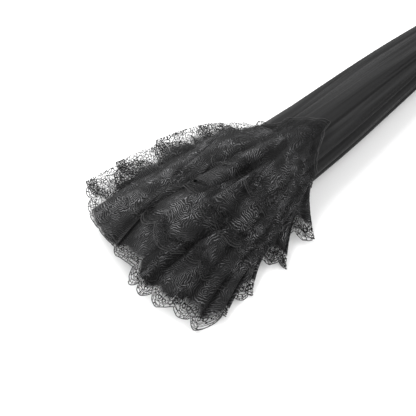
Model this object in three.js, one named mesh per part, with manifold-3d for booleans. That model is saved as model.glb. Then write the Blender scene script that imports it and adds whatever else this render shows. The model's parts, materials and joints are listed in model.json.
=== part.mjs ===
// A closed lace parasol lying on its side: telescopic shaft with crown, ferrule and handle, a runner with
// eight stretchers and eight ribs, sixteen half gores of canopy, and four gathered lace tiers with a heading.
// Millimetres. Stations are measured from the crown pivots (0) towards the handle, along -X.
import * as THREE from "three";
import { mergeVertices } from "three/addons/utils/BufferGeometryUtils.js";
import Module from "manifold-3d";

const wasm = await Module();
wasm.setup();

// ---- Driving dimensions ----
const RIBS = 8;
const SECTOR = (2 * Math.PI) / RIBS;
const FIRST_RIB = SECTOR / 2;
const GAP = 0.3;

const SHAFT = { outer: 6, inner: 5.2, from: 3.5, to: 292 };
const INNER_SHAFT = { outer: 4.7, inner: 3.9, from: 112, to: 330.6 };
const CROWN = { stub: 4, stubTop: -24, flange: 9.5, flangeTop: -10, flangeEnd: -3, plug: 5, plugEnd: 22 };
const FERRULE_TIP = -72;
const CAP = { bore: 4.4, rim: 16.5, low: -10.4, high: -14 };
const PIVOT_RADIUS = 7.5;
const WIRE = 0.4;

const RIB = { radius: 1, bow: 8, bowEnd: 230, end: 452, eye: 2.1, eyeHole: 0.75, eyeWide: 1.6 };
const CLIP = { station: 135, drop: 2.8, lugWide: 1.2, lugLong: 3, rivet: 0.6, rivetHead: 1.2, rivetEnd: 2.9 };
const STRETCHER = { length: 136, halfWide: 1.5, hole: 0.85, from: 0.9, to: 2.2, endRadius: 10.4 };
const RUNNER = { bore: 6.4, outer: 9.2, flange: 12, crownEnd: -10, flangeFrom: -5, flangeTo: 5, handleEnd: 16 };
const SLOT = { wide: 3, floor: 8.5 };
const KEYWAY = { wide: 4, top: 8 };
const CATCH = { from: 97, to: 104, leafFrom: 62, leafTo: 106, wide: 3, leafLow: 3.3, leafTop: 4.9, top: 7.4 };
const TIP = { from: 452.4, to: 460, radius: 1.9 };

const COLLAR = { bore: 5, outer: 10, from: 293.3, to: 305.7 };
const BUTTON = { radius: 3, hole: 3.3, low: 8.3, high: 11.6, floor: 6.3, station: 299.5 };
const GRIP = { from: 306, to: 380, boreEnd: 331, waist: 8.8, belly: 11 };
const POMMEL = { from: 380.3, to: 392, radius: 11.5 };

const CANOPY = { from: 4, to: 450, thick: 1.2, full: 320 };
const LACE_THICK = 0.8;
const WING = 11;
// Each tier: where it is sewn on, where its side corners hang, how much further its middle hangs,
// its half width and its height above the shaft at the free edge.
const TIERS = [
  { sewn: 318, corner: 358, middle: 30, wide: 98, top: 42 },
  { sewn: 352, corner: 400, middle: 30, wide: 105, top: 37.5 },
  { sewn: 394, corner: 445, middle: 30, wide: 111, top: 31 },
  { sewn: 438, corner: 482, middle: 31, wide: 112, top: 23 },
];
const HEADING = { sewn: 316, side: 10, middle: 46, lift: 5 };
const BAND = { from: 95, to: 205, azimuth: -0.196, half: 0.165, thick: 1 };
const SNAP = { station: 196, radius: 5, thick: 2 };

// The floor under the lying parasol, as the distance below the shaft axis at a station.
const FLOOR_AT_CAP = CAP.rim;
const FLOOR_SLOPE = 0.01616;
const floorBelow = (s) => FLOOR_AT_CAP + FLOOR_SLOPE * (s - CAP.low);

// ---- Shape helpers ----

function solidOf(geometry) {
  const g = geometry.clone();
  g.deleteAttribute("normal");
  g.deleteAttribute("uv");
  const merged = mergeVertices(g, 1e-4);
  const position = merged.getAttribute("position").array;
  const made = new wasm.Manifold(
    new wasm.Mesh({ numProp: 3, vertProperties: position, triVerts: new Uint32Array(merged.index.array) }),
  );
  if (made.volume() > 0) return made;
  const turned = new Uint32Array(merged.index.array);
  for (let i = 0; i < turned.length; i += 3) [turned[i + 1], turned[i + 2]] = [turned[i + 2], turned[i + 1]];
  return new wasm.Manifold(new wasm.Mesh({ numProp: 3, vertProperties: position, triVerts: turned }));
}

function geometryOf(solid) {
  const mesh = solid.getMesh();
  const position = new Float32Array(mesh.numVert * 3);
  for (let i = 0; i < mesh.numVert; i++) {
    position.set(mesh.vertProperties.subarray(i * mesh.numProp, i * mesh.numProp + 3), i * 3);
  }
  const g = new THREE.BufferGeometry();
  g.setAttribute("position", new THREE.BufferAttribute(position, 3));
  g.setIndex(new THREE.BufferAttribute(new Uint32Array(mesh.triVerts), 1));
  g.computeVertexNormals();
  return g;
}

// A turned piece about the shaft axis, from [station, radius] points in either direction.
function turned(points, sides = 24) {
  const profile = points.map(([s, r]) => new THREE.Vector2(r, s));
  if (THREE.ShapeUtils.area(profile) < 0) profile.reverse();
  return new THREE.LatheGeometry(profile, sides).rotateZ(Math.PI / 2);
}

// A round tube about the shaft axis.
function tube(bore, outer, from, to, sides = 24) {
  return turned([[from, bore], [from, outer], [to, outer], [to, bore], [from, bore]], sides);
}

// A block at azimuth 0, between two stations, two radii and two tangential offsets.
function block(from, to, low, high, left, right) {
  const g = new THREE.BoxGeometry(to - from, high - low, right - left);
  return g.translate(-(from + to) / 2, (low + high) / 2, (left + right) / 2);
}

// A closed solid between an outer and an inner surface, each a function of u and v from 0 to 1.
function shell(outer, inner, uSteps, vSteps, ring) {
  const columns = ring ? uSteps : uSteps + 1;
  const points = [];
  for (const side of [outer, inner]) {
    for (let i = 0; i < columns; i++) {
      for (let j = 0; j <= vSteps; j++) points.push(side(i / uSteps, j / vSteps));
    }
  }
  const half = columns * (vSteps + 1);
  const at = (side, i, j) => side * half + (i % columns) * (vSteps + 1) + j;
  const faces = [];
  const quad = (a, b, c, d) => faces.push(a, b, c, a, c, d);
  for (let i = 0; i < uSteps; i++) {
    for (let j = 0; j < vSteps; j++) {
      quad(at(0, i, j), at(0, i + 1, j), at(0, i + 1, j + 1), at(0, i, j + 1));
      quad(at(1, i, j), at(1, i, j + 1), at(1, i + 1, j + 1), at(1, i + 1, j));
    }
    quad(at(0, i, 0), at(1, i, 0), at(1, i + 1, 0), at(0, i + 1, 0));
    quad(at(0, i, vSteps), at(0, i + 1, vSteps), at(1, i + 1, vSteps), at(1, i, vSteps));
  }
  for (let j = 0; !ring && j < vSteps; j++) {
    quad(at(0, 0, j), at(0, 0, j + 1), at(1, 0, j + 1), at(1, 0, j));
    quad(at(0, uSteps, j), at(1, uSteps, j), at(1, uSteps, j + 1), at(0, uSteps, j + 1));
  }
  const g = new THREE.BufferGeometry();
  g.setAttribute("position", new THREE.Float32BufferAttribute(points.flat(), 3));
  g.setIndex(faces);
  return geometryOf(solidOf(g));
}

// The point at a station, an azimuth (from +Y towards +Z) and a radius.
const polar = (s, azimuth, r) => [-s, r * Math.cos(azimuth), r * Math.sin(azimuth)];

// Distance from the shaft axis to a flattened oval of the given half width, top height and depth.
function ovalRadius(azimuth, wide, top, depth) {
  const centre = (top - depth) / 2;
  const tall = (top + depth) / 2;
  const [c, s] = [Math.cos(azimuth), Math.sin(azimuth)];
  const a = (c / wide) ** 2 + (s / tall) ** 2;
  const b = (-2 * centre * s) / tall ** 2;
  const k = (centre / tall) ** 2 - 1;
  return (-b + Math.sqrt(b * b - 4 * a * k)) / (2 * a);
}

// ---- The closed canopy's outer surface ----
const fullness = (s) => Math.sqrt(Math.min(s, CANOPY.full) / CANOPY.full);
const pastFull = (s) => Math.max(0, (s - CANOPY.full) / (CANOPY.to - CANOPY.full));
const canopyWide = (s) => 11 + 32 * fullness(s) - 3 * pastFull(s);
const canopyTop = (s) => 11 + 27 * fullness(s) - 14 * pastFull(s);
const canopyDepth = (s) => 11 + 7.6 * (1 - Math.exp(-s / 75));
const canopyRadius = (s, azimuth) => ovalRadius(azimuth, canopyWide(s), canopyTop(s), canopyDepth(s));
const ribRadius = (s) => PIVOT_RADIUS + RIB.bow * Math.sin((Math.PI / 2) * Math.min(1, s / RIB.bowEnd));
const CLIP_RADIUS = ribRadius(CLIP.station) - CLIP.drop;
const RUNNER_STATION =
  CLIP.station + Math.sqrt(STRETCHER.length ** 2 - (CLIP_RADIUS - STRETCHER.endRadius) ** 2);

// ---- Shaft, crown and ferrule ----

function shaftTube() {
  const slot = block(95, 106, 4, 7, -1.8, 1.8).rotateX(Math.PI / 2);
  return geometryOf(solidOf(tube(SHAFT.inner, SHAFT.outer, SHAFT.from, SHAFT.to, 28)).subtract(solidOf(slot)));
}

function crown() {
  const c = CROWN;
  return turned([
    [c.stubTop, 0], [c.stubTop, c.stub], [c.flangeTop, c.stub], [c.flangeTop, c.flange],
    [c.flangeEnd, c.flange], [c.flangeEnd, c.plug], [c.plugEnd, c.plug], [c.plugEnd, 0],
  ]);
}

const ribWire = () => new THREE.TorusGeometry(PIVOT_RADIUS, WIRE, 6, 36).rotateY(Math.PI / 2);

function crownCap() {
  return turned([
    [CAP.low, CAP.bore], [CAP.low, CAP.rim], [CAP.low - 1.2, CAP.rim], [CAP.high + 0.6, 11],
    [CAP.high, 9], [CAP.high, CAP.bore], [CAP.low, CAP.bore],
  ], 32);
}

function ferrule() {
  const bore = CROWN.stub + GAP;
  return turned([
    [CROWN.stubTop - GAP, 0], [CROWN.stubTop - GAP, bore], [CAP.high - GAP, bore], [CAP.high - GAP, 8.5],
    [-19, 7.6], [-24, 5.6], [-30, 4.6], [-58, 3.4], [-61, 4.3], [-69, 4.3], [FERRULE_TIP, 3.1], [FERRULE_TIP, 0],
  ]);
}

// ---- Ribs, stretchers and runner, made at azimuth 0 and turned to their place ----

class RibLine extends THREE.Curve {
  getPoint(t, target = new THREE.Vector3()) {
    const s = 1.6 + t * (RIB.end - 1.6);
    return target.set(-s, ribRadius(s), 0);
  }
}

function discShape(x, y, radius, sides) {
  const shape = new THREE.Shape();
  shape.setFromPoints(
    Array.from({ length: sides }, (_, i) => {
      const a = (2 * Math.PI * i) / sides;
      return new THREE.Vector2(x + radius * Math.cos(a), y + radius * Math.sin(a));
    }),
  );
  return shape;
}

function plate(shape, from, to) {
  return new THREE.ExtrudeGeometry(shape, { depth: to - from, bevelEnabled: false }).translate(0, 0, from);
}

function rib() {
  const section = discShape(0, 0, RIB.radius, 6);
  const rod = new THREE.ExtrudeGeometry(section, { steps: 9, extrudePath: new RibLine(), bevelEnabled: false });
  const eyeShape = discShape(0, PIVOT_RADIUS, RIB.eye, 12);
  eyeShape.holes.push(discShape(0, PIVOT_RADIUS, RIB.eyeHole, 10));
  const eye = plate(eyeShape, -RIB.eyeWide / 2, RIB.eyeWide / 2);
  const [s, r, w] = [CLIP.station, CLIP_RADIUS, CLIP.lugWide / 2];
  const lug = block(s - CLIP.lugLong / 2, s + CLIP.lugLong / 2, r - 1.2, r + CLIP.drop - 0.3, -w, w);
  const rivet = plate(discShape(-s, r, CLIP.rivet, 8), -w, CLIP.rivetEnd);
  const head = plate(discShape(-s, r, CLIP.rivetHead, 8), STRETCHER.to + GAP, CLIP.rivetEnd);
  return [eye, lug, rivet, head].reduce((all, g) => all.add(solidOf(g)), solidOf(rod));
}

function stretcher() {
  const [x0, y0, x1, y1] = [-CLIP.station, CLIP_RADIUS, -RUNNER_STATION, STRETCHER.endRadius];
  const lean = Math.atan2(y1 - y0, x1 - x0);
  const shape = new THREE.Shape();
  shape.absarc(x1, y1, STRETCHER.halfWide, lean - Math.PI / 2, lean + Math.PI / 2, false);
  shape.absarc(x0, y0, STRETCHER.halfWide, lean + Math.PI / 2, lean + 1.5 * Math.PI, false);
  shape.holes.push(discShape(x0, y0, STRETCHER.hole, 12));
  const g = new THREE.ExtrudeGeometry(shape, {
    depth: STRETCHER.to - STRETCHER.from,
    bevelEnabled: false,
    curveSegments: 6,
  });
  return solidOf(g.translate(0, 0, STRETCHER.from));
}

const ribTip = () =>
  turned([
    [TIP.from, 0], [TIP.from, TIP.radius - 0.5], [TIP.from + 1, TIP.radius], [TIP.to - 2, TIP.radius],
    [TIP.to - 0.5, TIP.radius - 0.8], [TIP.to, 0],
  ], 10).translate(0, ribRadius(RIB.end), 0);

function runner() {
  const at = (offset) => RUNNER_STATION + offset;
  const body = solidOf(turned([
    [at(RUNNER.crownEnd), RUNNER.bore], [at(RUNNER.crownEnd), RUNNER.outer],
    [at(RUNNER.flangeFrom), RUNNER.outer], [at(RUNNER.flangeFrom), RUNNER.flange],
    [at(RUNNER.flangeTo), RUNNER.flange], [at(RUNNER.flangeTo), RUNNER.outer],
    [at(RUNNER.handleEnd), RUNNER.outer], [at(RUNNER.handleEnd), RUNNER.bore],
    [at(RUNNER.crownEnd), RUNNER.bore],
  ], 32));
  const middle = (STRETCHER.from + STRETCHER.to) / 2;
  let made = body;
  for (let k = 0; k < RIBS; k++) {
    const cut = block(at(RUNNER.crownEnd) - 1, at(RUNNER.handleEnd) + 1, SLOT.floor, RUNNER.flange + 1,
      middle - SLOT.wide / 2, middle + SLOT.wide / 2);
    made = made.subtract(solidOf(cut.rotateX(FIRST_RIB + k * SECTOR)));
  }
  const keyway = block(at(RUNNER.crownEnd) - 1, at(RUNNER.handleEnd) + 1, 0, KEYWAY.top,
    -KEYWAY.wide / 2, KEYWAY.wide / 2).rotateX(Math.PI / 2);
  return geometryOf(made.subtract(solidOf(keyway)));
}

function topCatch() {
  const leaf = block(CATCH.leafFrom, CATCH.leafTo, CATCH.leafLow, CATCH.leafTop, -CATCH.wide / 2, CATCH.wide / 2);
  const ramp = new THREE.Shape([
    new THREE.Vector2(-CATCH.from, CATCH.leafTop - 0.4), new THREE.Vector2(-CATCH.from, CATCH.top),
    new THREE.Vector2(-CATCH.to, SHAFT.outer - 0.5), new THREE.Vector2(-CATCH.to, CATCH.leafTop - 0.4),
  ]);
  const wedge = plate(ramp, -CATCH.wide / 2, CATCH.wide / 2);
  return geometryOf(solidOf(leaf).add(solidOf(wedge))).rotateX(Math.PI / 2);
}

// ---- Handle ----

const innerShaft = () => tube(INNER_SHAFT.inner, INNER_SHAFT.outer, INNER_SHAFT.from, INNER_SHAFT.to);

function radialRod(radius, low, high, station) {
  return new THREE.CylinderGeometry(radius, radius, high - low, 20).translate(-station, (low + high) / 2, 0)
    .rotateX(Math.PI / 2);
}

function collar() {
  const hole = radialRod(BUTTON.hole, BUTTON.floor, COLLAR.outer + 2, BUTTON.station);
  return geometryOf(solidOf(tube(COLLAR.bore, COLLAR.outer, COLLAR.from, COLLAR.to, 28)).subtract(solidOf(hole)));
}

const releaseButton = () => radialRod(BUTTON.radius, BUTTON.low, BUTTON.high, BUTTON.station);

function grip() {
  const outline = [];
  for (let i = 0; i <= 10; i++) {
    const t = i / 10;
    const r = GRIP.waist + (GRIP.belly - GRIP.waist) * Math.sin(Math.PI * t) ** 2 + 0.9 * Math.cos(4 * Math.PI * t);
    outline.push([GRIP.from + t * (GRIP.to - GRIP.from), r]);
  }
  return turned([[GRIP.boreEnd, 0], [GRIP.boreEnd, COLLAR.bore], [GRIP.from, COLLAR.bore], ...outline, [GRIP.to, 0]]);
}

const pommel = () =>
  turned([
    [POMMEL.from, 0], [POMMEL.from, 8], [POMMEL.from + 2.5, 11], [POMMEL.from + 5.5, POMMEL.radius],
    [POMMEL.to - 3, 10.6], [POMMEL.to, 7], [POMMEL.to, 0],
  ]);

// ---- Canopy, tie band and lace ----

// Half a gore: from its rib to the fold line half way to the next rib.
function halfGore(ribAzimuth, side) {
  const surface = (inset) => (u, v) => {
    const s = CANOPY.from + v * (CANOPY.to - CANOPY.from);
    const edge = 0.25 / canopyRadius(s, ribAzimuth);
    const azimuth = ribAzimuth + side * (edge + u * (SECTOR / 2 - 2 * edge));
    return polar(s, azimuth, canopyRadius(s, azimuth) - inset);
  };
  return shell(surface(0), surface(CANOPY.thick), 2, 10, false);
}

function tieBand() {
  const surface = (lift) => (u, v) => {
    const s = BAND.from + v * (BAND.to - BAND.from);
    const azimuth = BAND.azimuth + (u - 0.5) * 2 * BAND.half;
    return polar(s, azimuth, canopyRadius(s, azimuth) + lift);
  };
  return shell(surface(0.5 + BAND.thick), surface(0.5), 2, 10, false);
}

// The snap's face lies square to the cloth under it.
function tieSnap() {
  const at = (azimuth) => polar(SNAP.station, azimuth, canopyRadius(SNAP.station, azimuth));
  const [x, y, z] = at(BAND.azimuth);
  const [, y1, z1] = at(BAND.azimuth - 0.01);
  const [, y2, z2] = at(BAND.azimuth + 0.01);
  const low = 0.5 + BAND.thick + 0.5;
  return new THREE.CylinderGeometry(SNAP.radius - 0.8, SNAP.radius, SNAP.thick, 20)
    .translate(0, low + SNAP.thick / 2, 0)
    .rotateX(Math.atan2(y1 - y2, z2 - z1))
    .translate(x, y, z);
}

const upward = (azimuth) => Math.max(0, Math.sin(azimuth));
const clearOfCanopy = (s, azimuth) => canopyRadius(s, azimuth) + 2 * GAP + LACE_THICK;

// A point on a tier's free edge: a dome over two flat wings that lie close to the floor.
function freeEdge(tier, phase, s, inset) {
  const floor = -floorBelow(s) + 0.05;
  const waist = floor + WING;
  const tall = Math.sin(phase) > 0 ? tier.top - waist : WING;
  return [-s, (tier.wide - inset) * Math.cos(phase), waist + (tall - inset) * Math.sin(phase)];
}

function laceTier(tier, last) {
  const surface = (inset) => (u, v) => {
    const phase = 2 * Math.PI * u;
    const hang = last ? Math.abs(Math.sin(phase)) : upward(phase);
    const edge = tier.corner + tier.middle * hang ** 1.2;
    const sewn = polar(tier.sewn, phase, clearOfCanopy(tier.sewn, phase) - inset);
    const free = freeEdge(tier, phase, edge, inset);
    return sewn.map((from, i) => from + (free[i] - from) * (i === 0 ? v : v ** 0.9));
  };
  return shell(surface(0), surface(LACE_THICK), 32, 4, true);
}

function laceHeading() {
  const surface = (inset) => (u, v) => {
    const azimuth = 2 * Math.PI * u;
    const s = HEADING.sewn - v * (HEADING.side + HEADING.middle * upward(azimuth) ** 2);
    const lift = HEADING.lift * v * upward(azimuth);
    return polar(s, azimuth, clearOfCanopy(s, azimuth) + lift - inset);
  };
  return shell(surface(0), surface(LACE_THICK), 28, 3, true);
}

// ---- Materials ----
const material = (color, roughness, metalness) => new THREE.MeshStandardMaterial({ color, roughness, metalness });
const MATERIALS = {
  canopy: material(0x2b2b2d, 0.85, 0),
  lace: material(0x1f1f21, 0.8, 0),
  steel: material(0x3a3a3c, 0.4, 0.9),
  bright: material(0xb8b8bc, 0.25, 1),
  plastic: material(0x141415, 0.45, 0),
  wood: material(0x1b1512, 0.35, 0),
};

// ---- Assembly ----
const parasol = new THREE.Group();

function add(name, geometry, look) {
  const mesh = new THREE.Mesh(geometry, MATERIALS[look]);
  mesh.name = name;
  parasol.add(mesh);
  return mesh;
}

add("shaft_tube", shaftTube(), "steel");
add("crown", crown(), "plastic");
add("rib_wire", ribWire(), "bright");
add("crown_cap", crownCap(), "plastic");
add("ferrule", ferrule(), "bright");
add("top_catch", topCatch(), "bright");
add("runner", runner(), "plastic");
add("inner_shaft", innerShaft(), "bright");
add("handle_collar", collar(), "bright");
add("release_button", releaseButton(), "plastic");
add("handle_grip", grip(), "wood");
add("pommel", pommel(), "bright");

const ribSolid = rib();
const stretcherSolid = stretcher();
for (let k = 0; k < RIBS; k++) {
  const azimuth = FIRST_RIB + k * SECTOR;
  const n = k + 1;
  add(`rib_${n}`, geometryOf(ribSolid), "steel").rotation.x = azimuth;
  add(`rib_tip_${n}`, ribTip(), "bright").rotation.x = azimuth;
  add(`stretcher_${n}`, geometryOf(stretcherSolid), "steel").rotation.x = azimuth;
  add(`canopy_${n}_left`, halfGore(azimuth, -1), "canopy");
  add(`canopy_${n}_right`, halfGore(azimuth, 1), "canopy");
}
add("tie_band", tieBand(), "canopy");
add("tie_snap", tieSnap(), "bright");
add("lace_heading", laceHeading(), "lace");
TIERS.forEach((tier, i) => add(`lace_tier_${i + 1}`, laceTier(tier, i === TIERS.length - 1), "lace"));

// Lay the parasol on the floor, with the origin below the middle of its box.
const TILT = Math.atan(FLOOR_SLOPE);
parasol.rotation.y = TILT;
parasol.updateMatrixWorld(true);
const box = new THREE.Box3().setFromObject(parasol, true);
parasol.position.set(-(box.min.x + box.max.x) / 2, 0, -box.min.z);

export default parasol;
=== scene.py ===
import json
import math

import bpy
import numpy as np
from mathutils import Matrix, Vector

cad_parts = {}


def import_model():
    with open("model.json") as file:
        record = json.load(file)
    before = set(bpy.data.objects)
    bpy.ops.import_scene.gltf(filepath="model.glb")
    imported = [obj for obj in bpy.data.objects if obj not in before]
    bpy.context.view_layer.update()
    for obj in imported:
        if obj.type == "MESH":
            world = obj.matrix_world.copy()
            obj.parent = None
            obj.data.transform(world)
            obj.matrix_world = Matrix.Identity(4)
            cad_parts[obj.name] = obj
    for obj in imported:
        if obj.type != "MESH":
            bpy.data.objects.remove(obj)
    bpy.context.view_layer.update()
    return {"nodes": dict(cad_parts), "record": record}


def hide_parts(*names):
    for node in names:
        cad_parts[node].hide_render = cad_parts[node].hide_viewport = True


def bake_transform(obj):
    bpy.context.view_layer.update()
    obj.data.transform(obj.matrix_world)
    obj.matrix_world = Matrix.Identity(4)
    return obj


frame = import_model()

RECORD = frame["record"]
JOINTS = {joint["name"]: joint for joint in RECORD["behaviour"]["joints"]}
MM = 0.001
RIBS = 8
SECTOR = 2 * math.pi / RIBS
HALF = SECTOR / 2
SIDES = (("left", -1), ("right", 1))

# ---------------------------------------------------------------- the parasol's own frame
# Stations s run from the crown pivots towards the handle, y across and z away from the floor, all in
# millimetres. Azimuths, az, run round the shaft axis from +y towards +z.
ORIGIN = np.mean([JOINTS[f"rib_{k}_hinge"]["pos_m"] for k in range(1, RIBS + 1)], axis=0)
TO_CROWN = np.array(JOINTS["runner_slide"]["axis"])
ACROSS = np.array([0.0, 1.0, 0.0])
UP = np.cross(TO_CROWN, ACROSS)

# The shaft's slope: how high its axis is above the floor at one station, and its gain a millimetre.
AXIS_HEIGHT, AXIS_SLOPE, AXIS_FROM = 16.5, 0.01616, -10.4


def world(points):
    """Points (s, y, z) in millimetres to the row frame in metres."""
    p = np.asarray(points, float) * MM
    return ORIGIN - p[..., 0:1] * TO_CROWN + p[..., 1:2] * ACROSS + p[..., 2:3] * UP


def polar(s, radius, az):
    return np.stack([s, radius * np.cos(az), radius * np.sin(az)], axis=-1)


def rib_azimuth(k):
    return HALF + (k - 1) * SECTOR


def floor_below(s):
    return AXIS_HEIGHT + AXIS_SLOPE * (s - AXIS_FROM)


def smooth(x):
    x = np.clip(x, 0, 1)
    return x * x * (3 - 2 * x)


# ---------------------------------------------------------------- shape of the closed cloth
FIRST, LAST = -8, 451  # the stations of the cloth's two ends
WIDEST, TAPER = 320, 130  # where the closed bundle is widest, and how far on it has narrowed
HEM, HEM_DEPTH = 436, 14  # where the cloth starts to close in on the rib tips
NECK_TOP, NECK_DEPTH = 4, 14  # where the cloth leaves the crown
NECK_RADIUS, HEM_RADIUS = 10.6, 17.4
BROAD_FOLDS, BROAD_HEIGHT = 5, 3.4  # ridges in half a turn round the bundle, and their height
FINE_FOLDS, FINE_HEIGHT = 11, 1.3
FOLDS_SINK = 1.9  # how far inside the CAD cloth the folds lie as a whole
BUNDLE_LEAN = 3.5  # how far the bundle sags towards -y


def oval_radius(az, wide, top, depth):
    """Distance from the shaft axis to a flattened oval that reaches top above it and depth below."""
    centre, tall = (top - depth) / 2, (top + depth) / 2
    c, s = np.cos(az), np.sin(az)
    a = (c / wide) ** 2 + (s / tall) ** 2
    b = -2 * centre * s / tall**2
    k = (centre / tall) ** 2 - 1
    return (-b + np.sqrt(b * b - 4 * a * k)) / (2 * a)


def canopy_radius(s, az):
    """The closed cloth without its folds."""
    full = np.sqrt(np.clip(s, 0, WIDEST) / WIDEST)
    past = np.clip((s - WIDEST) / TAPER, 0, 1)
    wide = 11 + 32 * full - 3 * past
    top = 11 + 27 * full - 14 * past
    depth = 11 + 7.6 * (1 - np.exp(-np.clip(s, 0, None) / 75))
    return oval_radius(az, wide, top, depth)


def ridges(phase, power, mean):
    """Rounded ridges with sharp valleys, whose height averages about zero."""
    return np.abs(np.sin(phase)) ** power - mean


def cloth_folds(s, az):
    """Lengthwise folds that wander a little along the cloth."""
    warp = (az + 0.24 * np.sin(2 * az + 0.7) + 0.09 * np.sin(3 * az - s / 120)
            + 0.045 * np.sin(5 * az + s / 62 + 1))
    broad = ridges(BROAD_FOLDS * warp + 0.35, 0.8, 0.72)
    fine = ridges(FINE_FOLDS * warp + 1.1 + 0.7 * np.sin(s / 95 + az), 0.9, 0.68)
    fade = 0.35 + 0.65 * smooth(s / 140)
    swell = 0.6 + 0.4 * np.sin(s / 47 + 2.3 * np.sin(2 * az))
    lean = -BUNDLE_LEAN * np.cos(az) * smooth((s - 120) / 160)
    return fade * (BROAD_HEIGHT * broad + FINE_HEIGHT * fine * swell - FOLDS_SINK) + lean


def cloth_surface(s, az):
    """The visible canopy cloth: radius from the shaft axis, in millimetres."""
    radius = canopy_radius(s, az) + cloth_folds(s, az)
    neck = NECK_RADIUS + 3.0 * np.clip((s - FIRST) / 12, 0, 1)
    pleats = neck + 0.3 * np.sin(24 * az)
    below = radius + (neck - radius) * (1 - smooth((s - NECK_TOP) / NECK_DEPTH))
    radius = np.where(s < NECK_TOP, pleats, below)
    hem = HEM_RADIUS + 6.5 * np.abs(np.sin((az - HALF) * RIBS / 2))
    return radius + (np.minimum(hem, radius) - radius) * smooth((s - HEM) / HEM_DEPTH)


# ---------------------------------------------------------------- mesh helpers
def link(name, data):
    obj = bpy.data.objects.new(name, data)
    bpy.context.scene.collection.objects.link(obj)
    return obj


def make_object(name, vertices, faces, maps):
    """A smooth mesh object. maps holds one value pair a vertex for each named UV map."""
    mesh = bpy.data.meshes.new(name)
    mesh.from_pydata([tuple(v) for v in vertices], [], [tuple(int(i) for i in f) for f in faces])
    corner = np.zeros(len(mesh.loops), np.int32)
    mesh.loops.foreach_get("vertex_index", corner)
    for map_name, uvs in maps.items():
        layer = mesh.uv_layers.new(name=map_name)
        layer.data.foreach_set("uv", np.asarray(uvs, np.float32)[corner].ravel())
    mesh.polygons.foreach_set("use_smooth", [True] * len(mesh.polygons))
    mesh.update()
    return link(name, mesh)


def grid_faces(columns, rows, flip=False):
    i, j = np.meshgrid(np.arange(columns - 1), np.arange(rows - 1), indexing="ij")
    a = (i * rows + j).ravel()
    quads = np.stack([a, a + rows, a + rows + 1, a + 1], axis=1)
    return quads[:, ::-1] if flip else quads


def tube_along(path, normals, radius, sides=5):
    """Points and faces of a thin round cord along a path."""
    tangent = np.gradient(path, axis=0)
    tangent /= np.linalg.norm(tangent, axis=1, keepdims=True)
    side = np.cross(tangent, normals)
    side /= np.maximum(np.linalg.norm(side, axis=1, keepdims=True), 1e-9)
    other = np.cross(side, tangent)
    turns = [2 * math.pi * i / sides for i in range(sides)]
    ring = [path + radius * (math.cos(a) * side + math.sin(a) * other) for a in turns]
    faces = []
    for i in range(len(path) - 1):
        for j in range(sides):
            a, b = i * sides + j, i * sides + (j + 1) % sides
            faces.append((a, b, b + sides, a + sides))
    return np.stack(ring, axis=1).reshape(-1, 3), np.array(faces)


class Parts:
    """Grids and tubes gathered into one mesh, each with a material index."""

    def __init__(self):
        self.points, self.quads, self.flats, self.borders = [], [], [], []
        self.looks, self.count = [], 0

    def add(self, points, quads, flat=None, border=None, look=0):
        blank = np.zeros((len(points), 2))
        self.points.append(points)
        self.quads.append(quads + self.count)
        self.flats.append(blank if flat is None else flat)
        self.borders.append(blank if border is None else border)
        self.looks += [look] * len(quads)
        self.count += len(points)

    @property
    def vertices(self):
        return world(np.concatenate(self.points))

    @property
    def faces(self):
        return np.concatenate(self.quads)

    @property
    def maps(self):
        return {"flat": np.concatenate(self.flats), "border": np.concatenate(self.borders)}


# ---------------------------------------------------------------- materials
class Nodes:
    """A short way to write node graphs."""

    def __init__(self, tree):
        self.tree = tree

    def add(self, kind, **settings):
        node = self.tree.nodes.new(kind)
        for key, value in settings.items():
            setattr(node, key, value)
        return node

    def put(self, socket, value):
        if isinstance(value, bpy.types.NodeSocket):
            self.tree.links.new(value, socket)
        else:
            socket.default_value = value

    def uv(self, name):
        return self.add("ShaderNodeUVMap", uv_map=name).outputs[0]

    def position(self):
        return self.add("ShaderNodeTexCoord").outputs["Object"]

    def split(self, vector):
        node = self.add("ShaderNodeSeparateXYZ")
        self.put(node.inputs[0], vector)
        return node.outputs

    def scaled(self, vector, scale):
        node = self.add("ShaderNodeMapping")
        self.put(node.inputs["Vector"], vector)
        node.inputs["Scale"].default_value = scale
        return node.outputs[0]

    def math(self, operation, *values, clamp=False):
        node = self.add("ShaderNodeMath", operation=operation, use_clamp=clamp)
        for socket, value in zip(node.inputs, values):
            self.put(socket, value)
        return node.outputs[0]

    def wave(self, value, pitch):
        return self.math("SINE", self.math("MULTIPLY", value, 2 * math.pi / pitch))

    def ramp(self, value, low, high, to_low=0.0, to_high=1.0):
        node = self.add("ShaderNodeMapRange", interpolation_type="SMOOTHSTEP")
        for socket, v in zip(node.inputs, (value, low, high, to_low, to_high)):
            self.put(socket, v)
        return node.outputs[0]

    def noise(self, vector, scale, detail, roughness, distortion=0.0):
        node = self.add("ShaderNodeTexNoise")
        self.put(node.inputs["Vector"], vector)
        settings = {"Scale": scale, "Detail": detail, "Roughness": roughness,
                    "Distortion": distortion}
        for key, value in settings.items():
            self.put(node.inputs[key], value)
        return node.outputs

    def cells(self, vector, scale, feature="F1"):
        node = self.add("ShaderNodeTexVoronoi", voronoi_dimensions="2D", feature=feature)
        self.put(node.inputs["Vector"], vector)
        node.inputs["Scale"].default_value = scale
        return node.outputs

    def mix(self, factor, a, b):
        node = self.add("ShaderNodeMix", data_type="RGBA")
        for key, value in (("Factor", factor), ("A", a), ("B", b)):
            self.put(node.inputs[key], value)
        return node.outputs["Result"]

    def bump(self, height, strength, distance):
        node = self.add("ShaderNodeBump")
        for key, value in (("Height", height), ("Strength", strength), ("Distance", distance)):
            self.put(node.inputs[key], value)
        return node.outputs["Normal"]


def new_material(name):
    material = bpy.data.materials.new(name)
    material.use_nodes = True
    tree = material.node_tree
    return material, Nodes(tree), tree.nodes["Principled BSDF"].inputs


def grey(v):
    return (v, v, v * 1.03, 1.0)


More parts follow.
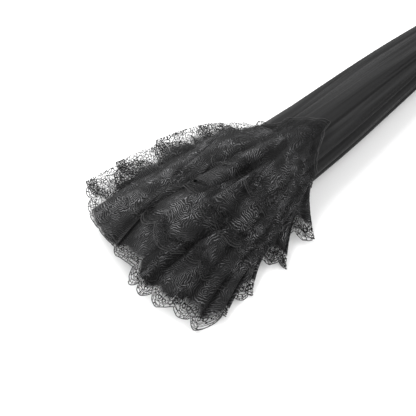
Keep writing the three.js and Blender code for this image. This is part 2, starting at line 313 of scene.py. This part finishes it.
WEAVE_PITCH = 0.9
# The two tones of the cloth: from painted shade in the crease valleys to lighter crease tops and random
# mottle.
CLOTH_DARK, CLOTH_LIGHT = 0.0045, 0.0145


def cloth_material():
    """Matte black woven cloth. The flat UV is in millimetres: across the folds, then along them."""
    material, n, shader = new_material("black_cloth")
    uv = n.uv("flat")
    x, y = n.split(uv)[:2]
    weave = n.math("MULTIPLY", n.wave(x, WEAVE_PITCH), n.wave(y, WEAVE_PITCH))
    creases = n.noise(n.scaled(uv, (0.22, 0.008, 1.0)), 1.0, 2.0, 0.5, 0.5)["Fac"]
    mottle = n.noise(uv, 0.35, 3.0, 0.6)["Fac"]
    # Painted shade: the colour is darker where the crease bump is low and lighter where it is high,
    # mixed with random mottle.
    shade = n.math("ADD", n.math("MULTIPLY", creases, 0.75), n.math("MULTIPLY", mottle, 0.25))
    n.put(shader["Base Color"], n.mix(n.ramp(shade, 0.3, 0.7), grey(CLOTH_DARK), grey(CLOTH_LIGHT)))
    height = n.math("ADD", n.math("MULTIPLY", creases, 0.8), n.math("MULTIPLY", weave, 0.05))
    n.put(shader["Normal"], n.bump(height, 0.55, 0.002))
    n.put(shader["Roughness"], n.ramp(mottle, 0.3, 0.7, 0.72, 0.86))
    shader["Sheen Weight"].default_value = 0.05
    shader["Sheen Roughness"].default_value = 0.45
    shader["Specular IOR Level"].default_value = 0.2
    return material


# The lace's own black, and the colour of the painted highlights along its cords.
LACE_DARK, LACE_HIGHLIGHT = 0.0105, 0.19
FLOWER_SCALE, LEAF_SCALE, NET_SCALE = 0.058, 0.07, 0.28  # cells a millimetre
MOTIF_BEND = 15.0  # how far the motifs are pulled out of shape, in millimetres
PETAL_RINGS, VEIN_PITCH = 8.8, 1.95
EYELET_PITCH, EYELET_ROW, EYELET_RADIUS = 5.2, 8.6, 1.5


def lace_material():
    """Black net lace. The flat UV is in millimetres: along the strip, then from the free edge inwards.

    The border UV holds the distance to the nearest outline, where the lace is open net, and how far up
    a fold it is: the cords get painted highlights on the ridges, and the creases get painted shade.
    """
    material, n, shader = new_material("black_lace")
    uv = n.uv("flat")
    x, y = n.split(uv)[:2]
    border, ridge = n.split(n.uv("border"))[:2]

    # Flowers are rings round cell centres. Leaves are veins that lean another way in each cell.
    bent = n.add("ShaderNodeVectorMath", operation="MULTIPLY_ADD")
    n.put(bent.inputs[0], n.noise(uv, 0.055, 3.0, 0.55)["Color"])
    bent.inputs[1].default_value = (MOTIF_BEND, MOTIF_BEND, 0.0)
    n.put(bent.inputs[2], uv)
    bent = bent.outputs[0]
    rings = n.math("MULTIPLY", n.cells(bent, FLOWER_SCALE)["Distance"], 2 * math.pi * PETAL_RINGS)
    rings = n.math("SINE", rings)
    leaf = n.split(n.cells(bent, LEAF_SCALE)["Color"])
    lean = n.math("MULTIPLY", leaf[0], 2 * math.pi)
    bent_x, bent_y = n.split(bent)[:2]
    slant = n.math("ADD", n.math("MULTIPLY", bent_x, n.math("COSINE", lean)),
                   n.math("MULTIPLY", bent_y, n.math("SINE", lean)))
    chosen = n.ramp(leaf[1], 0.42, 0.44)
    lines = n.math("ADD", n.math("MULTIPLY", n.wave(slant, VEIN_PITCH), chosen),
                   n.math("MULTIPLY", rings, n.math("SUBTRACT", 1.0, chosen)))
    breaks = n.ramp(n.noise(uv, 0.45, 2.0, 0.6)["Fac"], 0.34, 0.52, 0.3, 1.0)
    cords = n.math("MULTIPLY", n.ramp(lines, 0.35, 1.0), breaks)

    # The net, and a row of bound eyelets along the free edge.
    net_edge = n.cells(bent, NET_SCALE, "DISTANCE_TO_EDGE")["Distance"]
    net = n.ramp(net_edge, 0.052, 0.105, 1.0, 0.0)
    along = n.math("MODULO", n.math("ADD", x, 4000.0), EYELET_PITCH)
    along = n.math("SUBTRACT", along, EYELET_PITCH / 2)
    off = n.math("SUBTRACT", y, EYELET_ROW)
    eyelet = n.math("ADD", n.math("MULTIPLY", along, along), n.math("MULTIPLY", off, off))
    eyelet = n.math("SQRT", eyelet)
    ring = n.math("ABSOLUTE", n.math("SUBTRACT", eyelet, EYELET_RADIUS))
    ring = n.ramp(ring, 0.35, 0.6, 1.0, 0.0)
    hole = n.math("MAXIMUM", n.ramp(eyelet, 1.0, 1.3), n.ramp(border, 11.5, 13.0))

    # Near the outlines only the net and some motifs cover. Further in, the gathered lace is opaque.
    patches = n.noise(uv, 0.055, 2.0, 0.6)["Fac"]
    inland = n.math("MULTIPLY", n.math("SUBTRACT", patches, 0.5), 16.0)
    dense = n.ramp(n.math("ADD", border, inland), 12.0, 19.0)
    open_lines = n.math("MULTIPLY", n.ramp(lines, 0.66, 0.95), n.ramp(leaf[2], 0.6, 0.65))
    cover = n.math("MAXIMUM", n.math("MAXIMUM", net, open_lines), dense)
    n.put(shader["Alpha"], n.math("MAXIMUM", n.math("MULTIPLY", cover, hole), ring, clamp=True))

    # Painted highlights: the cords are lighter in random patches, fade near the outlines and are
    # strongest on the fold ridges.
    highlight_patches = n.math("MULTIPLY", n.ramp(patches, 0.38, 0.62, 0.25, 1.0),
                  n.ramp(leaf[2], 0.1, 0.9, 0.35, 1.0))
    painted_highlight = n.math("MULTIPLY", n.math("MULTIPLY", cords, highlight_patches), n.ramp(border, 9.0, 20.0, 0.15, 1.0))
    painted_highlight = n.math("MULTIPLY", painted_highlight, n.ramp(ridge, 0.05, 0.95, 0.3, 1.25))
    # Painted shade: the lace ground is darker down in the fold creases.
    ground = n.mix(n.ramp(ridge, 0.0, 0.6), grey(0.45 * LACE_DARK), grey(LACE_DARK))
    n.put(shader["Base Color"], n.mix(painted_highlight, ground, grey(LACE_HIGHLIGHT)))
    height = n.math("ADD", n.math("MULTIPLY", cords, 0.7), n.math("MULTIPLY", net, 0.3))
    n.put(shader["Normal"], n.bump(height, 0.8, 0.001))
    n.put(shader["Roughness"], n.ramp(cords, 0.0, 1.0, 0.9, 0.65))
    shader["Sheen Weight"].default_value = 0.03
    shader["Sheen Roughness"].default_value = 0.5
    shader["Specular IOR Level"].default_value = 0.1
    return material


def cord_material():
    """Twisted thread."""
    material, n, shader = new_material("lace_cord")
    twist = n.noise(n.position(), 900.0, 2.0, 0.6)["Fac"]
    n.put(shader["Base Color"], n.mix(twist, grey(0.004), grey(0.022)))
    n.put(shader["Normal"], n.bump(twist, 0.5, 0.0004))
    n.put(shader["Roughness"], n.ramp(twist, 0.3, 0.7, 0.5, 0.75))
    return material


def hard_material(name, low, high, roughness, metallic, scale, stretch, bump, coat):
    """Metal, plastic or wood: two tones mixed by grain that also varies the roughness and relief."""
    material, n, shader = new_material(name)
    grain = n.noise(n.scaled(n.position(), stretch), scale, 5.0, 0.6, 0.4)["Fac"]
    n.put(shader["Base Color"], n.mix(n.ramp(grain, 0.3, 0.7), (*low, 1), (*high, 1)))
    n.put(shader["Roughness"], n.ramp(grain, 0.3, 0.7, *roughness))
    n.put(shader["Normal"], n.bump(grain, bump, 0.0003))
    shader["Metallic"].default_value = metallic
    shader["Coat Weight"].default_value = coat
    return material


CLOTH, LACE, CORD = cloth_material(), lace_material(), cord_material()
LOOKS = {"canopy_fabric": CLOTH, "black_lace": LACE}
# Slot, material name, dark and light tone, roughness, metallic, grain scale and stretch, bump, coat.
EVEN = (1, 1, 1)
for slot, *look in (
    ("black_steel", "black_steel", (0.012, 0.012, 0.013), (0.03, 0.03, 0.032), (0.32, 0.48),
     0.6, 260, (0.15, 1, 1), 0.15, 0.0),
    ("bright_steel", "bright_steel", (0.42, 0.42, 0.43), (0.62, 0.62, 0.63), (0.2, 0.36),
     1.0, 500, (0.1, 1, 1), 0.15, 0.0),
    ("bright_metal", "nickel", (0.55, 0.54, 0.52), (0.72, 0.71, 0.68), (0.12, 0.24),
     1.0, 90, EVEN, 0.15, 0.0),
    ("black_plastic", "black_plastic", (0.012, 0.012, 0.013), (0.022, 0.022, 0.023), (0.38, 0.52),
     0.0, 1400, EVEN, 0.25, 0.0),
    ("dark_wood", "dark_wood", (0.016, 0.008, 0.005), (0.06, 0.028, 0.014), (0.25, 0.4),
     0.0, 90, (0.12, 1, 1), 0.3, 0.6),
):
    LOOKS[slot] = hard_material(*look)

SLOT_OF = {part["node"]: part["material_slot"] for part in RECORD["subparts"]}
for node, obj in frame["nodes"].items():
    obj.data.materials.clear()
    obj.data.materials.append(LOOKS[SLOT_OF[node]])


def follow(obj):
    """Bakes the piece's placement into its mesh.
    """
    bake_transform(obj)


# ---------------------------------------------------------------- canopy, one piece for each half gore
CLOTH_COLUMNS = 17
CLOTH_ROWS = np.concatenate([np.linspace(FIRST, 18, 12), np.linspace(22, HEM, 92),
                             np.linspace(438.5, LAST, 6)])
UV_RADIUS = 40.0  # turns an azimuth into millimetres across the cloth


def canopy_piece(k, side, sign):
    u = np.linspace(0, 1, CLOTH_COLUMNS)
    s, az = np.broadcast_arrays(CLOTH_ROWS, rib_azimuth(k) + sign * u[:, None] * HALF)
    vertices = world(polar(s, cloth_surface(s, az), az)).reshape(-1, 3)
    faces = grid_faces(*s.shape, flip=sign > 0)
    uvs = np.stack([az * UV_RADIUS, s], axis=-1).reshape(-1, 2)
    obj = make_object(f"canopy_cloth_{k}_{side}", vertices, faces, {"flat": uvs})
    obj.data.materials.append(CLOTH)
    follow(obj)
    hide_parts(f"canopy_{k}_{side}")


# ---------------------------------------------------------------- lace
SEAM_LIFT = 1.5  # how far a seam stands off the cloth that it is sewn to
CLOTH_GAP = 1.0  # the least gap between the lace and the canopy cloth
LAYER_GAP = 0.35  # how much further out each upper tier keeps
FLOOR_GAP = 0.7
HEM_TIER, LINING_NUMBER = 4, 9
HEM_LOBES = ((19, -31, 17), (-6, -70, 15))  # (how far it hangs lower, y, width) on the last tier's hem


class Tier:
    """A flounce: sewn round the canopy or the lining at one station, its free edge spread on the table.

    phase goes once round it, from its +y side over the top. v goes from its seam, 0, to its free
    edge, 1.
    left and right are (station, half width) of its side corners, middle is how much further its
    middle hangs, and top the height of its free edge above the shaft axis. flare and hug say how late
    it spreads to the left and to the right, and droop how late it comes down on the left.
    """

    HUMP = 4.6  # how flat the free edge lies at its sides before it rises to the top
    WAIST = 5.8  # the height of its side edges above the table
    PULLED_IN = 2.2  # how far the layer next to the table is drawn in from the sides

    def __init__(self, number, sewn, left, right, middle, top, scallops, seed, under=None,
                 flare=0.85, droop=0.8, hug=0.85):
        self.number, self.sewn, self.left, self.right = number, sewn, left, right
        self.middle, self.top, self.scallops, self.seed = middle, top, scallops, seed
        self.under, self.flare, self.droop, self.hug = under, flare, droop, hug
        self.at_hem = number in (HEM_TIER, LINING_NUMBER)
        self.phases = np.linspace(0, 2 * math.pi, 2881)
        edge = self.base(self.phases, np.ones_like(self.phases))
        steps = np.linalg.norm(np.diff(edge, axis=0), axis=1)
        self.arcs = np.concatenate([[0], np.cumsum(steps)])
        self.around = self.arcs[-1]

    def along(self, phase):
        """How far round the free edge, in millimetres."""
        turns = np.floor(phase / (2 * math.pi))
        return np.interp(phase - turns * 2 * math.pi, self.phases, self.arcs) + turns * self.around

    def edge_station(self, phase):
        corner = self.right[0] + (self.left[0] - self.right[0]) * (1 + np.cos(phase)) / 2
        further = np.where(np.sin(phase) > 0, self.middle, 0.0)
        square = 3.6 if self.at_hem else 2.6
        station = corner + further * (1 - np.abs(np.cos(phase)) ** square)
        if self.number == HEM_TIER:
            y = self.left[1] * np.cos(phase)
            lobes = sum(low * np.exp(-(((y - at) / wide) ** 2)) for low, at, wide in HEM_LOBES)
            station = station + lobes * smooth(2 * np.sin(phase))
        return station

    def seam(self, phase):
        """Where it is sewn on: round the canopy, or on the lining beneath it."""
        if self.under is None:
            s = self.sewn + 0 * phase
            return polar(s, cloth_surface(s, phase) + SEAM_LIFT, phase)
        start, end = self.under.sewn, self.under.edge_station(phase)
        share = (self.sewn - start) / (end - start)
        return self.under.base(phase, share) + SEAM_LIFT * self.normal(phase)

    def base(self, phase, v):
        """The smooth surface (s, y, z), before folds and ruffles."""
        c, sn = np.cos(phase), np.sin(phase)
        edge_s = self.edge_station(phase)
        wide = np.where(c > 0, self.left[1], self.right[1])
        waist = -floor_below(edge_s) + self.WAIST
        over = (self.top - waist) * np.abs(sn) ** self.HUMP
        high = np.where(sn > 0, over, -4.2 * np.abs(sn) ** 0.6)
        across = np.where(sn > 0, c, np.sign(c) * np.abs(c) ** self.PULLED_IN)
        free = np.stack([edge_s, wide * across, waist + high], axis=-1)
        seam = self.seam(phase)
        f = v[..., None]
        flare = np.where(across > 0, self.flare, self.hug)[..., None]
        droop = np.where(across > 0, self.droop, 1.0)[..., None]
        return seam + (free - seam) * np.concatenate([f, f**flare, f**droop], axis=-1)

    def normal(self, phase):
        c, sn = np.cos(phase), np.sin(phase)
        tall = np.where(sn > 0, 40.0, 8.0)
        n = np.stack([0 * c, c / 110.0, sn / tall], axis=-1)
        return n / np.maximum(np.linalg.norm(n, axis=-1, keepdims=True), 1e-9)

    def folds(self, phase, s):
        """Folds that run on lengthwise through all the tiers: broad ridges, and narrow ones that come
        and go. The upper two tiers also have one long crease beside a ridge."""
        warp = (phase + 0.15 * np.sin(2 * phase + 0.9) + 0.05 * np.sin(4 * phase + s / 50)
                + 0.02 * np.sin(9 * phase + s / 31))
        broad = ridges(7 * warp + 0.5, 0.7, 0.66)
        narrow = ridges(16 * warp + 0.9 + 0.6 * np.sin(s / 60 + 3 * phase), 0.8, 0.66)
        swell = 0.55 + 0.45 * np.sin(s / 33 + 2.6 * np.sin(3 * phase))
        off = phase - 1.7 + 0.14 * (s - 341) / 93
        crease = 6.0 * np.exp(-((off - 0.17) / 0.11) ** 2) - 11.0 * np.exp(-(off / 0.06) ** 2)
        return 11.0 * broad + 4.0 * narrow * swell + crease * (self.number in (1, 2))

    def turned_under(self, phase):
        """Where the hem is folded under and lies dense and straight, from 0 to 1."""
        y = self.left[1] * np.cos(phase)
        turned = smooth((y - 14) / 14) * (1 - smooth((y - 88) / 12))
        return turned * self.at_hem * (np.sin(phase) > 0)

    def reach(self, phase, v, turn):
        """v with a scalloped, uneven free edge that is blunt at its right corner."""
        uneven = (turn + 0.09 * np.sin(3 * turn + self.seed)
                  + 0.05 * np.sin(7 * turn + 2 * self.seed))
        scallop = np.abs(np.sin(uneven * self.scallops / 2)) ** 0.6
        drape = (0.05 * np.sin(4 * turn + 1.7 * self.seed)
                 + 0.035 * np.sin(9 * turn + 0.6 * self.seed))
        turned = self.turned_under(phase)
        edge = (0.085 - 0.065 * turned) * (scallop - 0.5) + drape * (1 - turned)
        reach = v * (1 + edge * smooth((v - 0.4) / 0.6))
        blunt = 0.04 if self.number == 1 else 0.11
        right_corner = smooth((-np.cos(phase) - 0.84) / 0.16)
        return reach * (1 - blunt * right_corner * smooth((v - 0.5) / 0.5))

    def surface(self, phase, v):
        """The finished surface: the base with its scallops, folds and ruffles, clear of the cloth."""
        phase, v = np.broadcast_arrays(phase, v)
        turn = 2 * math.pi * self.along(phase) / self.around
        p = self.base(phase, self.reach(phase, v, turn))
        up = np.clip(np.sin(phase), 0, 1)
        deep = smooth((p[..., 0] - 300) / 80) * (0.25 + 0.75 * up)
        ruffle = (np.sin(turn * (13 + self.seed) + self.seed)
                  + 0.6 * np.sin(turn * (21 - self.seed) + 2 * self.seed))
        wave = 1.6 * v**1.5 * ruffle * (0.55 + 0.45 * up)
        lift = deep * self.folds(phase, p[..., 0]) + wave
        lift = lift * (0.25 + 0.75 * (np.sin(phase) > -0.05))
        shift = lift[..., None] * self.normal(phase)

        # Along the ribs and the fold edges it moves only towards or away from the shaft, so that the
        # boundaries between pieces stay where they are.
        az = np.arctan2(p[..., 2], p[..., 1])
        off = (az + HALF / 2) % HALF - HALF / 2
        tangent = np.stack([0 * az, -np.sin(az), np.cos(az)], axis=-1)
        hold = np.exp(-((off / 0.035) ** 2))[..., None]
        shift = shift - hold * (shift * tangent).sum(-1, keepdims=True) * tangent
        p = p + shift * smooth(v / 0.2)[..., None]

        r, az = np.hypot(p[..., 1], p[..., 2]), np.arctan2(p[..., 2], p[..., 1])
        layers = 5 - min(self.number, 5)
        clear = cloth_surface(np.minimum(p[..., 0], 446), az) + CLOTH_GAP + LAYER_GAP * layers
        need = smooth((452 - p[..., 0]) / 8) * np.clip(clear - r, 0, None) / r
        p[..., 1:] *= 1 + need[..., None]
        p[..., 2] = np.maximum(p[..., 2], -floor_below(p[..., 0]) + FLOOR_GAP)
        return p

    def boundary(self, az, rows):
        """The phase at which the surface crosses an azimuth, at each row."""
        grid = np.linspace(-math.pi / 2, 1.5 * math.pi, 1441)
        found = []
        for v in rows:
            p = self.base(grid, np.full_like(grid, v))
            found.append(np.interp(az, np.unwrap(np.arctan2(p[:, 2], p[:, 1])), grid))
        return np.array(found)

    def ridge(self, phase, s):
        """How far up a fold, from 0 to 1."""
        return smooth(self.folds(phase, s) / 14 + 0.5)


class Heading(Tier):
    """The short ruffle above the first tier. Its free edge lies up the tube, towards the crown."""

    # (degrees of phase, how far it lies up the tube)
    REACH = ((-40, 2), (0, 2), (40, 2), (52, 5), (80, 32), (100, 43), (115, 52), (126, 30), (142, 15),
             (160, 5), (220, 3))

    def __init__(self, sewn, scallops):
        super().__init__(0, sewn, (0, 0), (0, 0), 0, 0, scallops, 0)

    def base(self, phase, v):
        degrees = (np.degrees(phase) + 90) % 360 - 90
        table = np.array(self.REACH, float)
        up = np.interp(np.where(degrees > 220, degrees - 360, degrees), table[:, 0], table[:, 1])
        s = self.sewn - v * up
        return polar(s, canopy_radius(s, phase) + 2.2 + 1.6 * v * np.clip(np.sin(phase), 0, 1), phase)

    def normal(self, phase):
        return np.stack([0 * phase, np.cos(phase), np.sin(phase)], axis=-1)

    def folds(self, phase, s):
        return cloth_folds(s, phase)

    def surface(self, phase, v):
        phase, v = np.broadcast_arrays(phase, v)
        turn = 2 * math.pi * self.along(phase) / self.around
        scallop = np.abs(np.sin(turn * self.scallops / 2)) ** 0.7
        p = self.base(phase, v * (1 + 0.08 * (scallop - 0.5) * smooth((v - 0.5) / 0.5)))
        folds = cloth_folds(p[..., 0], phase)
        lift = folds + v**1.3 * 2.4 * np.clip(np.sin(turn * 9 + 1.0), -0.4, 1)
        lift = np.maximum(lift, folds - 0.6)
        # Two ridges, one each side of a long crease.
        off = phase - (2.0 + 0.12 * (p[..., 0] - 273) / 36)
        lift = lift + v * (3.0 * np.exp(-((off - 0.17) / 0.11) ** 2)
                           + 2.4 * np.exp(-((off + 0.17) / 0.12) ** 2))
        return p + lift[..., None] * self.normal(phase)


LINING = Tier(LINING_NUMBER, 318, (462, 92), (464, 79), 36, 13, 13, 3, None, 0.75, 1.2, 0.75)
TIERS = [
    Heading(320, scallops=12),
    Tier(1, 316, (346, 92), (351, 90), 34, 40, 16, 2, None, flare=0.35, droop=0.4, hug=1.3),
    Tier(2, 335, (395, 109), (395, 93), 34, 35, 17, 3, LINING, flare=0.35, hug=1.5),
    Tier(3, 375, (439, 114), (439, 93), 36, 27, 18, 4, LINING, flare=0.35, hug=2.0),
    Tier(HEM_TIER, 415, (474, 117), (480, 95), 37, 16, 18, 5, LINING, 0.35, 1.1, 1.4),
    LINING,
]
# Raised cords along a tier's free edge: (distance in from the edge, radius).
PLAIN = ((0.0, 0.42), (2.7, 0.28))
CORDS = {0: ((0.0, 0.4), (2.7, 0.26)), 1: PLAIN, 2: PLAIN, 3: PLAIN,
         HEM_TIER: ((0.0, 0.5), (2.7, 0.33), (5.6, 0.33))}
# The +y outline of all the tiers together, (station, y), past which only table shows through the net.
OUTLINE = np.array([(314, 50), (322, 72), (346, 92), (395, 109), (439, 114), (474, 117),
                    (560, 117)], float)
LACE_ROWS = np.concatenate([np.linspace(0, 0.6, 9), np.linspace(0.66, 1, 10)])
LACE_PITCH, LEAST_COLUMNS = 1.7, 9


def strip(tier, k, sign):
    """One tier's share of a half gore, as a grid: phase, v and the finished points."""
    rib = rib_azimuth(k) - (2 * math.pi if rib_azimuth(k) > 1.5 * math.pi else 0)
    first, last = (tier.boundary(az, LACE_ROWS) for az in (rib, rib + sign * HALF))
    span = abs(tier.along(last[-1:]) - tier.along(first[-1:]))[0]
    u = np.linspace(0, 1, max(LEAST_COLUMNS, int(span / LACE_PITCH) + 2))[:, None]
    phase = first + (last - first) * u
    v = np.broadcast_to(LACE_ROWS, phase.shape)
    return phase, v, tier.surface(phase, v)


def net_distance(tier, phase, near, p):
    """The distance to the nearest outline that shows. near is the distance to the tier's free edge."""
    if tier is LINING:
        return near + 9.0
    if isinstance(tier, Heading):
        return near
    near = near + 11.0 * tier.turned_under(phase) + (3.0 if tier.number == HEM_TIER else 0.0)
    return np.minimum(near, 0.48 * (np.interp(p[..., 0], *OUTLINE.T) - p[..., 1]))


def lace_piece(k, side, sign):
    parts, folds = Parts(), []
    for tier in TIERS:
        phase, v, p = strip(tier, k, sign)
        folds.append(p[-1])
        depth = np.linalg.norm(np.diff(p, axis=1), axis=-1).sum(axis=1).mean()
        near = (1 - v) * depth
        flat = np.stack([tier.along(phase) + 61.0 * tier.number, near], axis=-1)
        border = np.stack([net_distance(tier, phase, near, p), tier.ridge(phase, p[..., 0])], axis=-1)
        flip = (sign > 0) != isinstance(tier, Heading)
        parts.add(p.reshape(-1, 3), grid_faces(*phase.shape, flip=flip), flat.reshape(-1, 2),
                  border.reshape(-1, 2))
        for inset, radius in CORDS.get(tier.number, ()):
            at = max(0.0, 1 - inset / max(depth, 12.0))
            edge = np.array([np.interp(at, LACE_ROWS, row) for row in phase])
            line = tier.surface(edge, np.full_like(edge, at)) + tier.normal(edge) * radius * 0.6
            parts.add(*tube_along(line, tier.normal(edge), radius), look=1)
    vertices, faces = parts.vertices, parts.faces
    obj = make_object(f"lace_{k}_{side}", vertices, faces, parts.maps)
    obj.data.materials.append(LACE)
    obj.data.materials.append(CORD)
    obj.data.polygons.foreach_set("material_index", parts.looks)
    follow(obj)
    return obj


for k in range(1, RIBS + 1):
    for side, sign in SIDES:
        canopy_piece(k, side, sign)
        lace_piece(k, side, sign)
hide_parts("lace_heading", *(f"lace_tier_{i}" for i in range(1, 5)))

# ---------------------------------------------------------------- tie strap and its snap
STRAP_FIRST, STRAP_ROUND, ROUND_LENGTH = 95.0, 197, 9  # stations of its sewn end and rounded end
STRAP_AZIMUTH, STRAP_HALF, STRAP_LIFT, STRAP_THICK = -0.196, 5.8, 1.9, 1.0
SNAP_STATION = 196.0
# Half of its section, (share of the half width, share of the thickness): a groove takes the stitches.
SECTION = [(-1, 0.1), (-1, 0.55), (-0.97, 0.9), (-0.9, 1.0), (-0.8, 0.86), (-0.4, 1.0), (0, 1.03),
           (0.4, 1.0), (0.8, 0.86), (0.9, 1.0), (0.97, 0.9), (1, 0.55), (1, 0.1)]
GROOVE, STITCH, STITCH_PITCH = 0.8, 2.4, 3.4
# The snap's cap, (radius, height) in millimetres.
CAP = [(5.0, 0.0), (5.05, 0.5), (4.75, 0.85), (4.2, 0.7), (3.9, 0.95), (3.2, 1.45), (2.2, 1.8),
       (1.3, 1.86), (0.9, 1.7), (0.4, 1.62), (0.02, 1.6)]


def strap_point(s, across, lift):
    """A point over the cloth: across from the strap's middle line, lift above its underside."""
    az = STRAP_AZIMUTH + across / canopy_radius(s, STRAP_AZIMUTH + 0 * s)
    rest = STRAP_LIFT * smooth((s - STRAP_FIRST + 3) / 12)
    return polar(s, canopy_radius(s, az) + rest + lift, az)


def strap_band():
    end = STRAP_ROUND + ROUND_LENGTH * np.sin(np.linspace(0.1, math.pi / 2, 10))
    s = np.concatenate([np.linspace(STRAP_FIRST, STRAP_ROUND, 60), end])
    past = np.clip(s - STRAP_ROUND, 0, None) / 9.2
    half = STRAP_HALF * np.sqrt(np.clip(1 - past**2, 0.02, 1))
    across, high = np.array(SECTION)[:, :1], np.array(SECTION)[:, 1:]
    ripple = 0.16 * np.sin(s[None, :] / 5.3 + 2 * np.sin(s[None, :] / 17)) * (1 - across**2)
    points = strap_point(np.broadcast_to(s, (len(SECTION), len(s))), across * half,
                         high * STRAP_THICK + ripple)
    flat = np.stack(np.broadcast_arrays(across * half + 300, s), axis=-1).reshape(-1, 2)
    faces = grid_faces(len(SECTION), len(s), flip=True)
    band = make_object("tie_strap", world(points).reshape(-1, 3), faces, {"flat": flat})
    band.data.materials.append(CLOTH)
    return band


def strap_stitches():
    parts = Parts()
    for side in (-GROOVE, GROOVE):
        for at in np.arange(STRAP_FIRST + 3, STRAP_ROUND, STITCH_PITCH):
            run = np.linspace(at, at + STITCH, 5)
            bow = 0.86 + 0.1 * np.sin(np.linspace(0, math.pi, 5))
            line = strap_point(run, side * STRAP_HALF + 0 * run, bow)
            parts.add(*tube_along(line, np.broadcast_to([0.0, 1.0, 0.0], line.shape), 0.24, 6))
    flat = {"flat": parts.maps["flat"]}
    thread = make_object("tie_strap_stitches", parts.vertices, parts.faces, flat)
    thread.data.materials.append(CORD)
    return thread


def strap_snap():
    s = np.array([SNAP_STATION])
    at, beside = (strap_point(s, np.array([x]), STRAP_THICK)[0] for x in (0.0, 1.0))
    across = (beside - at) / np.linalg.norm(beside - at)
    out = np.array([0.0, across[2], -across[1]])
    out *= np.sign(out @ np.array([0.0, at[1], at[2]]))
    down = np.array([1.0, 0, 0])
    turns = np.linspace(0, 2 * math.pi, 37)
    points = [[at + r * (math.cos(a) * down + math.sin(a) * across) + h * out for r, h in CAP]
              for a in turns]
    vertices = world(np.array(points)).reshape(-1, 3)
    snap = make_object("tie_snap_cap", vertices, grid_faces(len(turns), len(CAP)), {})
    snap.data.materials.append(LOOKS["bright_metal"])
    return snap


strap, thread, snap = strap_band(), strap_stitches(), strap_snap()
for piece, slot in ((strap, "canopy_fabric"), (thread, "canopy_fabric"), (snap, "bright_metal")):
    follow(piece)
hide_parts("tie_band")
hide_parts("tie_snap")

# ---------------------------------------------------------------- floor, light and camera
FLOOR_HALF = 6
CORNERS = [(-FLOOR_HALF, -FLOOR_HALF, 0), (FLOOR_HALF, -FLOOR_HALF, 0),
           (FLOOR_HALF, FLOOR_HALF, 0), (-FLOOR_HALF, FLOOR_HALF, 0)]
floor_mesh = bpy.data.meshes.new("floor")
floor_mesh.from_pydata(CORNERS, [], [(0, 1, 2, 3)])
paper, _, paper_shader = new_material("pale_floor")
paper_shader["Base Color"].default_value = (0.93, 0.93, 0.93, 1)
paper_shader["Roughness"].default_value = 0.9
floor_mesh.materials.append(paper)
link("floor", floor_mesh)

AIM = Vector((-0.1903, 0.0048, 0.020))  # what the camera and the lights point at
WORLD_STRENGTH = 0.7
LENS, SENSOR = 95, 36
ELEVATION, AZIMUTH, DISTANCE = math.radians(60), math.radians(-41), 1.1


def area_light(name, offset, size, power):
    light = bpy.data.lights.new(name, "AREA")
    light.shape, light.size, light.energy = "DISK", size, power
    obj = link(name, light)
    obj.location = AIM + offset
    obj.rotation_euler = (AIM - (AIM + offset)).to_track_quat("-Z", "Y").to_euler()


area_light("key", Vector((-0.1, 1.5, 1.5)), 2.1, 78)
area_light("fill", Vector((0.6, -1.2, 2.2)), 2.4, 38)
studio = bpy.data.worlds.new("studio")
studio.use_nodes = True
background = studio.node_tree.nodes["Background"].inputs
background[0].default_value = (1, 1, 1, 1)
background[1].default_value = WORLD_STRENGTH
bpy.context.scene.world = studio
bpy.context.scene.view_settings.view_transform = "Standard"

lens = bpy.data.cameras.new("camera")
lens.lens, lens.sensor_width = LENS, SENSOR
camera = link("camera", lens)
back = Vector((math.sin(AZIMUTH) * math.cos(ELEVATION), -math.cos(AZIMUTH) * math.cos(ELEVATION),
               math.sin(ELEVATION)))
camera.location = AIM + back * DISTANCE
camera.rotation_euler = (-back).to_track_quat("-Z", "Y").to_euler()
bpy.context.scene.camera = camera
